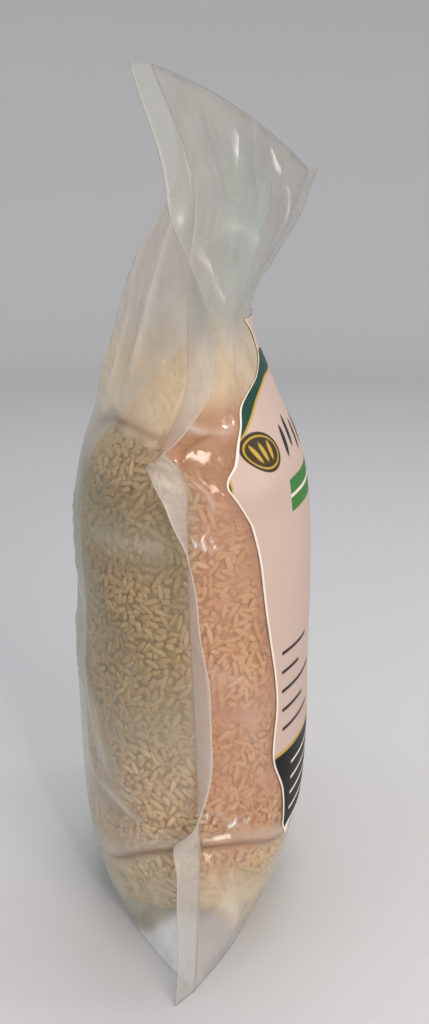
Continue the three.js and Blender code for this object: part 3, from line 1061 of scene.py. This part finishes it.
# The columns lie closer together towards the seams
spread = np.linspace(-1, 1, SKIN_COLUMNS) * math.pi / 2 * 0.96
skin_level = HEIGHT * np.linspace(0, 1, SKIN_ROWS)[:, None]
skin_across = np.sin(spread) / math.sin(spread[-1])
front, front_marks = skin_sheet(1, skin_across[None, :], skin_level)
back, back_marks = skin_sheet(-1, skin_across[None, -2:0:-1], skin_level)
skin_points = np.concatenate([front, back], 1)
skin_marks = np.concatenate([front_marks, back_marks], 1)
ring = skin_points.shape[1]
skin_faces = grid_faces(SKIN_ROWS, ring)


def closing_strips(first, turned):
    """The quads that close a ring by joining its first half to its second half."""
    i = np.arange(ring // 2)
    quads = np.stack([i, i + 1, (ring - i - 1) % ring, (ring - i) % ring], -1)
    quads = quads[:, ::-1] if turned else quads
    return [list(dict.fromkeys(quad)) for quad in (quads + first).tolist()]


skin_all = skin_faces.tolist() + closing_strips(0, True)
skin_all += closing_strips((SKIN_ROWS - 1) * ring, False)
skin_points[..., 2] = np.maximum(skin_points[..., 2], 0)
skin_values = {key: skin_marks[..., i].ravel() for i, key in enumerate(("milk", "light", "dark"))}
skin_values["tint"] = skin_marks[..., 3:].reshape(-1, 4)
skin_values["level"] = np.broadcast_to(skin_level, skin_marks.shape[:2]).ravel()
film = make_mesh("film", skin_points.reshape(-1, 3), skin_all, skin_values)
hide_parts("bag")
print("film", len(film.data.polygons), "faces")


# %% [markdown]
# ## The sealed strips
#
# Each side seal is a strip of both films welded together, stiffer and milkier than a single
# sheet. It stands out from the seam and twists as it goes up the bag. It is a thin closed
# ribbon, made as rows of points from the root to the free edge on one face and back on the
# other.

# %% Side seals
SEAL_THICK = 0.3
SEAL_ROWS = 260
SEAL_STEPS = 7
SEAL_WAVE = 0.7


def side_seal(name, side, seam, turns):
    """A ribbon from the seam outwards. The way out is at the station's angle from straight out,
    and the free edge waves a little."""
    level = HEIGHT * np.linspace(0, 1, SEAL_ROWS)
    point = seam_point(seam, level)
    point[..., 0] -= seam_pull(side, level)
    angle = np.radians(through(turns, level, 1))
    out = np.stack([np.sin(angle), side * np.cos(angle), 0 * angle], -1)
    flank = np.stack([np.cos(angle), -side * np.sin(angle), 0 * angle], -1)
    reach = np.linspace(-0.05, 1, SEAL_STEPS)
    wave = SEAL_WAVE * np.sin(level / 7.0) * np.sin(level / 19.0 + 1.0)
    rows = []
    for face, steps in ((1, reach), (-1, reach[::-1])):
        offset = face * SEAL_THICK / 2 + wave[:, None] * np.maximum(steps, 0)[None, :] ** 2
        rows.append(
            point[:, None, :]
            + out[:, None, :] * (steps * SEAL_WIDTH)[None, :, None]
            + flank[:, None, :] * offset[..., None]
        )
    points = np.concatenate(rows, 1)
    if side > 0:
        points = points[:, ::-1]
    columns = points.shape[1]
    faces = grid_faces(SEAL_ROWS, columns)[:, ::-1].tolist()
    faces += [list(range(columns)), list(range((SEAL_ROWS - 1) * columns, SEAL_ROWS * columns))[::-1]]
    edge = np.concatenate([reach, reach[::-1]])
    edge = edge[::-1] if side > 0 else edge
    marks = {"reach": np.tile(edge, SEAL_ROWS), "level": np.repeat(level, columns)}
    points[..., 2] = np.maximum(points[..., 2], 0)
    piece = make_mesh(name, points.reshape(-1, 3), faces, marks)
    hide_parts("bag")
    return piece


near_seal = side_seal("near_seal", -1, NEAR_SEAM, NEAR_TURN)
far_seal = side_seal("far_seal", 1, FAR_SEAM, FAR_TURN)
print("seals", len(near_seal.data.polygons), len(far_seal.data.polygons), "faces")

# %% The skin's finish
# Colours of the painted highlights, the painted shade and the cut edge
FILM_LIT = (0.80, 0.79, 0.77, 1)
FILM_SHADE = (0.22, 0.11, 0.045, 1)
CUT_EDGE = (0.26, 0.26, 0.26, 1)

skin_finish, skin_tree, skin_shader = new_material("film_skin")
milk, light, dark, height = (attribute(skin_tree, key) for key in ("milk", "light", "dark", "level"))
haze = use_group(skin_tree, haze_group, Milk=milk, Cloud=0.2, Size=45.0)
# Film that is seen at a slant looks denser, though hardly in the flap
facing = add_node(skin_tree, "ShaderNodeLayerWeight", {"Blend": 0.35}).outputs["Facing"]
rim_share = calc(skin_tree, "MULTIPLY_ADD", ramp(skin_tree, height, 190.0, 235.0), -0.25, 0.3)
rim = calc(skin_tree, "MULTIPLY", calc(skin_tree, "POWER", facing, 2.5), rim_share)
cut_edge = ramp(skin_tree, height, HEIGHT - 1.0, HEIGHT - 0.5)
# The painted highlights and painted shade also make the film denser
creased = calc(skin_tree, "MULTIPLY", calc(skin_tree, "ADD", light, dark), 0.5)
alpha = calc(skin_tree, "ADD", calc(skin_tree, "ADD", haze, rim), creased)
alpha = calc(skin_tree, "ADD", alpha, cut_edge, clamp=True)
colour = add_node(skin_tree, "ShaderNodeAttribute", attribute_name="tint").outputs["Color"]
# Painted shade in grooves and dark marks, then painted highlights on crests and glints, then the cut
# edge
for share, paint in ((dark, FILM_SHADE), (light, FILM_LIT), (cut_edge, CUT_EDGE)):
    colour = blend(skin_tree, share, colour, paint)
connect(skin_tree, skin_shader, {"Base Color": colour, "Alpha": alpha, "Roughness": 0.15, "IOR": 1.9})
skin_wrinkles = use_group(skin_tree, wrinkle_group, Size=48.0, Crumple=1.0, Pebble=0.2)
add_bump(skin_tree, skin_shader, skin_wrinkles, 0.5, 0.0012)
film.data.materials.append(skin_finish)
print("skin nodes", len(skin_tree.nodes))

# %% The seals' finish
SEAL_FLAP = (0.36, 0.375, 0.345, 1)
SEAL_LOW = (0.47, 0.455, 0.43, 1)
SEAL_BODY = (0.66, 0.60, 0.55, 1)

seal_finish, seal_tree, seal_shader = new_material("film_seal")
height = attribute(seal_tree, "level")
in_body = calc(seal_tree, "SUBTRACT", 1.0, ramp(seal_tree, height, 195.0, 235.0))
# From the pleat up to the flap the strip is clearer
below_flap = calc(seal_tree, "SUBTRACT", 1.0, ramp(seal_tree, height, 236.0, 248.0))
clearer = calc(seal_tree, "MULTIPLY", ramp(seal_tree, height, 144.0, 162.0), below_flap)
haze = use_group(seal_tree, haze_group, Milk=0.40, Cloud=0.08, Size=70.0)
haze = calc(seal_tree, "MULTIPLY_ADD", clearer, -0.14, haze)
free_edge = ramp(seal_tree, attribute(seal_tree, "reach"), 0.9, 1.0)
free_edge = calc(seal_tree, "MULTIPLY", calc(seal_tree, "MULTIPLY", free_edge, 0.22), in_body)
alpha = calc(seal_tree, "ADD", haze, free_edge, clamp=True)
colour = blend(seal_tree, ramp(seal_tree, height, 20.0, 60.0), SEAL_LOW, SEAL_BODY)
colour = blend(seal_tree, in_body, SEAL_FLAP, colour)
connect(seal_tree, seal_shader, {"Base Color": colour, "Alpha": alpha, "Roughness": 0.32, "IOR": 1.6})
seal_wrinkles = use_group(seal_tree, wrinkle_group, Size=120.0, Crumple=0.5, Pebble=0.0)
add_bump(seal_tree, seal_shader, seal_wrinkles, 0.3, 0.0004)
for piece in (near_seal, far_seal):
    piece.data.materials.append(seal_finish)
print("seal nodes", len(seal_tree.nodes))

# %% [markdown]
# ## The label
#
# The label is a thin sheet of printed plastic stuck on the front sheet. Its near edge comes
# nearer to the seam where the film is pleated at the shoulder. Its print is made of plain
# shapes worked out from the label's own measure in millimetres: x across from a place near its
# near edge, y from its bottom.

# %% Label mesh
LABEL_FAR_EDGE = 0.58
LABEL_LIFT = 0.3
LABEL_THICK = 0.12
DEEPEST_CREASE = -0.2
LABEL_ROWS, LABEL_COLUMNS = 180, 100

label_level = np.linspace(LABEL_NEAR_EDGE[0][0], LABEL_NEAR_EDGE[-1][0], LABEL_ROWS)[:, None]
label_near = through(LABEL_NEAR_EDGE, label_level, 1)
label_across = mix(label_near, LABEL_FAR_EDGE, np.linspace(0, 1, LABEL_COLUMNS)[None, :])
label_rise = np.maximum(crease_height(1, label_across, label_level), DEEPEST_CREASE)
label_rise = label_rise + film_ripple(1, label_across, label_level)
outer, _ = sheet_point(1, label_across, label_level, label_rise + LABEL_LIFT + LABEL_THICK)
inner, _ = sheet_point(1, label_across, label_level, label_rise + LABEL_LIFT)
label_points = np.concatenate([outer, inner[:, ::-1]], 1)
label_ring = label_points.shape[1]
label_faces = grid_faces(LABEL_ROWS, label_ring).tolist()


def plate_ends(ring_size, rows):
    """The quads that close a folded ring at its first and last row."""
    i = np.arange(ring_size // 2 - 1)
    quads = np.stack([i, i + 1, ring_size - 2 - i, ring_size - 1 - i], -1)
    return quads[:, ::-1].tolist() + (quads + (rows - 1) * ring_size).tolist()


def both_faces(values):
    """The values of the outer face, and the same in reverse for the inner one."""
    return np.concatenate([values, values[:, ::-1]], 1)


PRINT_FROM = -0.6
label_faces += plate_ends(label_ring, LABEL_ROWS)
print_x = both_faces((label_across - PRINT_FROM) * HALF_SHEET)
print_y = np.broadcast_to(label_level - LABEL_NEAR_EDGE[0][0], print_x.shape)
edge_x = both_faces((label_across - label_near) * HALF_SHEET)
label = make_mesh(
    "label_sheet",
    label_points.reshape(-1, 3),
    label_faces,
    {"print_x": print_x.ravel(), "print_y": print_y.ravel(), "edge_x": edge_x.ravel()},
)
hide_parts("label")
print("label", len(label.data.polygons), "faces")

# %% [markdown]
# ## The label's print
#
# The print is a handful of masks laid over each other like paper cut-outs: each is 1 inside its
# shape and 0 outside, with an edge as sharp as a printed one.

# %% Print shapes
# Measures are in millimetres on the label: px across, py up and pe from the near edge
label_finish, ink, label_shader = new_material("label_print")
INK_EDGE = 0.22
px, py, pe = attribute(ink, "print_x"), attribute(ink, "print_y"), attribute(ink, "edge_x")


def above(value, limit):
    """1 where value is over limit."""
    return ramp(ink, value, limit - INK_EDGE, limit + INK_EDGE)


def below(value, limit):
    """1 where value is under limit."""
    return calc(ink, "SUBTRACT", 1.0, above(value, limit))


def stripe(value, low, high):
    """1 where value is over low and under high."""
    return calc(ink, "MULTIPLY", above(value, low), below(value, high))


def box_mask(x0, y0, x1, y1):
    """A rectangle."""
    return calc(ink, "MULTIPLY", stripe(px, x0, x1), stripe(py, y0, y1))


def oval_mask(x, y, rx, ry, turn=0.0):
    """An oval with its long axis turned by an angle in degrees."""
    c, s = math.cos(math.radians(turn)), math.sin(math.radians(turn))
    dx, dy = calc(ink, "SUBTRACT", px, x), calc(ink, "SUBTRACT", py, y)
    along = calc(ink, "MULTIPLY_ADD", dx, c / rx, calc(ink, "MULTIPLY", dy, s / rx))
    over = calc(ink, "MULTIPLY_ADD", dx, -s / ry, calc(ink, "MULTIPLY", dy, c / ry))
    squared = calc(ink, "MULTIPLY_ADD", along, along, calc(ink, "MULTIPLY", over, over))
    inside = calc(ink, "SUBTRACT", 1.0, calc(ink, "SQRT", squared))
    return ramp(ink, inside, -INK_EDGE / min(rx, ry), INK_EDGE / min(rx, ry))


print("masks for", label_finish.name)


# %% Print colours and layout
PAPER = (0.50, 0.385, 0.335, 1)
GREEN = (0.010, 0.050, 0.034, 1)
LEAF = (0.035, 0.17, 0.03, 1)
GOLD = (0.45, 0.30, 0.05, 1)
BROWN = (0.045, 0.030, 0.014, 1)
BLACK = (0.006, 0.006, 0.006, 1)
WHITE = (0.74, 0.68, 0.62, 1)
INK = (0.020, 0.018, 0.020, 1)
MIDDLE = 47.0
ARCH_TOP, ARCH_FLAT, ARCH_HALF = 163.0, 130.0, 3.6
BADGE_X, BADGE_Y = 9.0, 139.0
BORDER = 0.9

from_middle = calc(ink, "SUBTRACT", px, MIDDLE)
arch = calc(ink, "MULTIPLY_ADD", calc(ink, "POWER", from_middle, 2.0), 1 / ARCH_FLAT, py)
over_arch = calc(ink, "SUBTRACT", arch, ARCH_TOP)
# Masks and their colours, from the lowest to the topmost: first the arch
cut_outs = [
    (stripe(over_arch, -ARCH_HALF - 0.8, ARCH_HALF), GOLD),
    (stripe(over_arch, -ARCH_HALF, ARCH_HALF), GREEN),
]
# The badge and its three grains
for grow, colour in ((0.0, BROWN), (-1.1, GOLD), (-1.7, BROWN)):
    cut_outs.append((oval_mask(BADGE_X, BADGE_Y, 9.0 + grow, 6.6 + grow), colour))
for step in (-1, 0, 1):
    cut_outs.append((oval_mask(BADGE_X + 3.6 * step, BADGE_Y, 0.9, 3.0, turn=-14.0 * step), GOLD))
# A row of slanted ovals and a band in place of words
for step in range(9):
    y = 139.0 + 2.0 * math.sin(step * 1.9)
    cut_outs.append((oval_mask(25.0 + 6.6 * step, y, 1.5, 5.4, turn=-18.0), INK))
cut_outs.append((box_mask(18.0, 116.0, 77.0, 127.0), LEAF))
cut_outs.append((box_mask(18.0, 120.8, 77.0, 122.0), WHITE))
# The ear of rice
for step in range(6):
    for side in (-1, 1):
        x = MIDDLE + 6 + side * (2.6 + 0.3 * step)
        cut_outs.append((oval_mask(x, 82 + 4.0 * step, 1.4, 3.3, turn=-side * 28.0), GOLD))
cut_outs.append((box_mask(MIDDLE + 5.7, 72, MIDDLE + 6.3, 104), LEAF))
# Bars in place of words, on the paper and on the black field below
for row, reach in enumerate((24.0, 17.0, 27.0, 13.0, 20.0)):
    cut_outs.append((box_mask(9.0, 40 + 7.0 * row, 9.0 + reach, 41.3 + 7.0 * row), INK))
cut_outs.append((box_mask(-20, 31.3, 120, 32.6), GOLD))
cut_outs.append((box_mask(-20, 1.0, 120, 31.3), BLACK))
for row, reach in enumerate((30.0, 22.0, 34.0, 26.0)):
    cut_outs.append((box_mask(16.0, 6.4 + 6.0 * row, 16.0 + reach, 7.4 + 6.0 * row), WHITE))
# The pale borders along the bottom and the near edge
cut_outs += [(stripe(py, -5.0, 1.6), WHITE), (below(pe, BORDER), WHITE)]

paint = PAPER
for mask, colour in cut_outs:
    paint = blend(ink, mask, paint, colour)
connect(ink, label_shader, {"Base Color": paint, "Roughness": 0.45, "Specular IOR Level": 0.12})
label_wrinkles = use_group(ink, wrinkle_group, Size=60.0, Crumple=0.5, Pebble=0.0)
add_bump(ink, label_shader, label_wrinkles, 0.2, 0.0004)
label.data.materials.append(label_finish)
print("print nodes", len(ink.nodes))

# %% [markdown]
# ## Floor and light
#
# A round pale studio floor rises softly to a low wall all round, so that no edge shows from any
# side. The light is soft: a broad warm lamp from the right, a weaker one from the front, a weak
# cool one from the left and one overhead. Two small bright lamps draw the glints on the film.

# %% Studio floor
FLOOR_FLAT, FLOOR_WALL, FLOOR_RISE = 900.0, 1500.0, 1100.0
FLOOR_RINGS, FLOOR_SIDES = 60, 128
FLOOR_PALE = (0.535, 0.537, 0.545, 1)
floor_share = np.linspace(0, 1, FLOOR_RINGS)[:, None]
floor_turn = np.arange(FLOOR_SIDES)[None, :] / FLOOR_SIDES * 2 * math.pi
floor_radius = np.maximum(FLOOR_WALL * floor_share, 1.0)
curve = np.clip((floor_radius - FLOOR_FLAT) / (FLOOR_WALL - FLOOR_FLAT), 0, 1)
floor_height = FLOOR_RISE * (1 - np.sqrt(1 - curve**2)) + 0 * floor_turn
floor_x, floor_y = floor_radius * np.cos(floor_turn), floor_radius * np.sin(floor_turn)
floor_grid = np.stack([floor_x, floor_y, floor_height], -1).reshape(-1, 3)
floor_faces = grid_faces(FLOOR_RINGS, FLOOR_SIDES).tolist()
floor_faces += [list(range(FLOOR_SIDES))[::-1]]
floor_mesh = bpy.data.meshes.new("floor")
floor_mesh.from_pydata((floor_grid * MM).tolist(), [], floor_faces)
floor_mesh.polygons.foreach_set("use_smooth", np.full(len(floor_mesh.polygons), True))
floor = bpy.data.objects.new("floor", floor_mesh)
bpy.context.scene.collection.objects.link(floor)
floor_finish, floor_tree, floor_shader = new_material("floor_pale")
connect(floor_tree, floor_shader, {"Base Color": FLOOR_PALE, "Roughness": 0.6})
floor_mesh.materials.append(floor_finish)
print("floor", len(floor_mesh.polygons), "faces")


# %% Lights
def area_light(name, place, aim, size, power, colour):
    """A square lamp at a place, turned to face a point."""
    data = bpy.data.lights.new(name, "AREA")
    data.size, data.energy, data.color = size, power, colour
    lamp = bpy.data.objects.new(name, data)
    lamp.location = place
    away = np.array(place) - np.array(aim)
    lamp.rotation_euler = (
        math.acos(away[2] / np.linalg.norm(away)),
        0.0,
        math.atan2(away[1], away[0]) + math.pi / 2,
    )
    bpy.context.scene.collection.objects.link(lamp)


BAG_MIDDLE = (0.0, 0.0, 0.13)
SKY, SKY_STRENGTH = (0.93, 0.95, 1.0, 1), 0.58
area_light("key_right", (0.50, -0.85, 0.55), BAG_MIDDLE, 0.5, 6.7, (1.0, 0.87, 0.77))
area_light("front_fill", (-0.15, -1.1, 0.6), BAG_MIDDLE, 0.6, 2.0, (1.0, 0.98, 0.95))
area_light("fill_left", (-0.75, -0.35, 0.45), BAG_MIDDLE, 0.6, 1.0, (0.95, 1.0, 1.0))
area_light("overhead", (0.05, 0.25, 1.0), BAG_MIDDLE, 0.5, 3.6, (1.0, 0.99, 0.98))
area_light("spark_front", (0.22, -0.78, 0.72), BAG_MIDDLE, 0.04, 1.1, (1.0, 0.97, 0.92))
area_light("spark_right", (0.9, 0.12, 0.5), BAG_MIDDLE, 0.05, 1.5, (1.0, 1.0, 1.0))
world = bpy.data.worlds.new("studio")
world.use_nodes = True
background = world.node_tree.nodes["Background"]
connect(world.node_tree, background, {"Color": SKY, "Strength": SKY_STRENGTH})
bpy.context.scene.world = world
bpy.context.scene.view_settings.view_transform = "Standard"
print("lights placed")

# %% Update the scene
bpy.context.view_layer.update()
